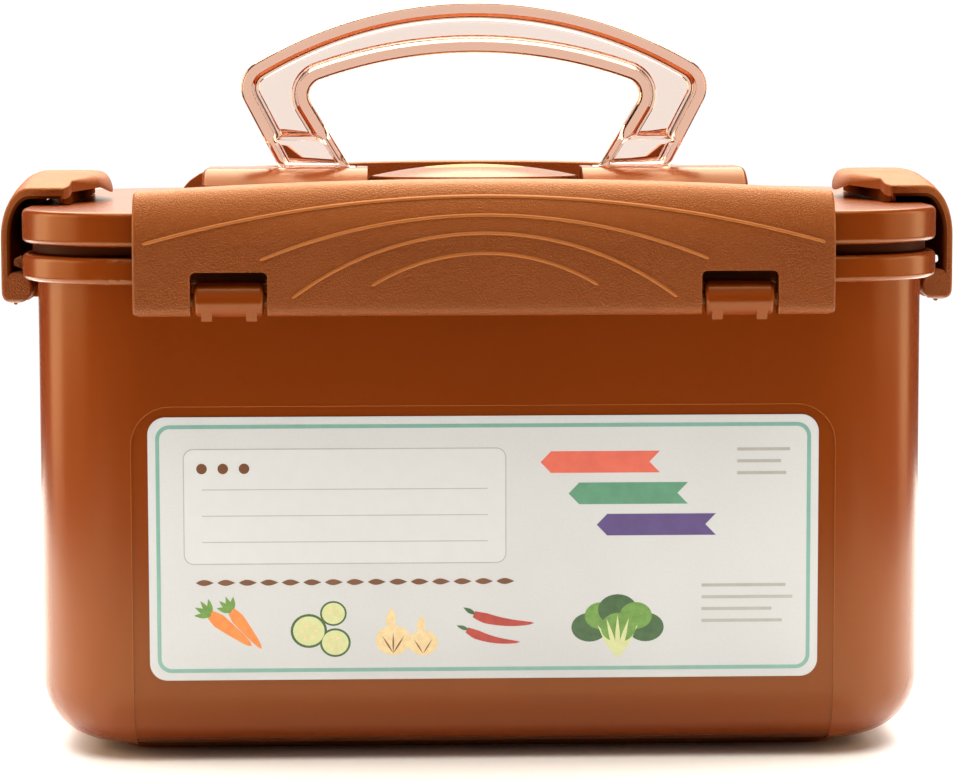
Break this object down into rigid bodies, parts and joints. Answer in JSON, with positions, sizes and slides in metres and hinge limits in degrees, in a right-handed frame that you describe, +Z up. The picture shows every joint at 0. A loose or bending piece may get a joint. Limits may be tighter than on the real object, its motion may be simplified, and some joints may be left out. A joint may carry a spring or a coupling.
{
  "type": "kimchi fermentation container",
  "caption": "Rounded brown plastic food container with a lid held by hinged latches, a clear folding carry handle and a sliding inner lid that presses on the food.",
  "frame": {"origin": "middle of the base, on the surface that the container stands on", "axes": "+X to the right along the longer side, -Y towards the labelled front, +Z up"},
  "size_m": [0.2826, 0.2158, 0.2175],
  "materials": {
    "brown_gloss": "glossy moulded polypropylene",
    "brown_grained": "fine leather-like moulded grain with polished beads",
    "clear_pink": "clear pale pink moulded plastic",
    "label_paper": "satin film label",
    "silicone": "soft dark brown silicone",
    "pin_steel": "ground steel",
    "badge_gold": "glossy moulded plastic",
    "amber_clear": "amber moulded plastic",
    "cream_gloss": "glossy cream moulded plastic"
  },
  "bodies": {
    "tub": {"container_body": "brown_gloss", "front_label": "label_paper", "outer_lid": "brown_gloss", "lid_seal": "silicone", "left_saddle": "brown_gloss", "right_saddle": "brown_gloss", "left_pivot_pin": "pin_steel", "right_pivot_pin": "pin_steel", "lid_badge": "badge_gold"},
    "handle": {"carry_handle": "clear_pink"},
    "front_latch": {"front_latch": "brown_grained"},
    "rear_latch": {"rear_latch": "brown_grained"},
    "left_latch": {"left_latch": "brown_grained"},
    "right_latch": {"right_latch": "brown_grained"},
    "press_lid": {"inner_lid": "amber_clear", "inner_lid_seal": "silicone"},
    "pull_frame": {"inner_pull_frame": "cream_gloss"},
    "vent": {"vent_plug": "cream_gloss", "vent_seal": "silicone"}
  },
  "joints": [
    {"name": "handle_fold", "type": "hinge", "parent": "tub", "child": "handle", "pos_m": [0, 0, 0.1642], "axis": [-1, 0, 0], "range_deg": [0, 88]},
    {"name": "front_latch_open", "type": "hinge", "parent": "tub", "child": "front_latch", "pos_m": [0, -0.1029, 0.1331], "axis": [1, 0, 0], "range_deg": [0, 170]},
    {"name": "rear_latch_open", "type": "hinge", "parent": "tub", "child": "rear_latch", "pos_m": [0, 0.1029, 0.1331], "axis": [-1, 0, 0], "range_deg": [0, 170]},
    {"name": "left_latch_open", "type": "hinge", "parent": "tub", "child": "left_latch", "pos_m": [-0.1364, 0, 0.1331], "axis": [0, -1, 0], "range_deg": [0, 170]},
    {"name": "right_latch_open", "type": "hinge", "parent": "tub", "child": "right_latch", "pos_m": [0.1364, 0, 0.1331], "axis": [0, 1, 0], "range_deg": [0, 170]},
    {"name": "press_lid_slide", "type": "slide", "parent": "tub", "child": "press_lid", "axis": [0, 0, 1], "range_m": [-0.075, 0]},
    {"name": "pull_frame_lift", "type": "hinge", "parent": "press_lid", "child": "pull_frame", "pos_m": [0, -0.0185, 0.1075], "axis": [1, 0, 0], "range_deg": [0, 90]},
    {"name": "vent_lift", "type": "slide", "parent": "press_lid", "child": "vent", "axis": [0, 0, 1], "range_m": [0, 0.005]}
  ]
}
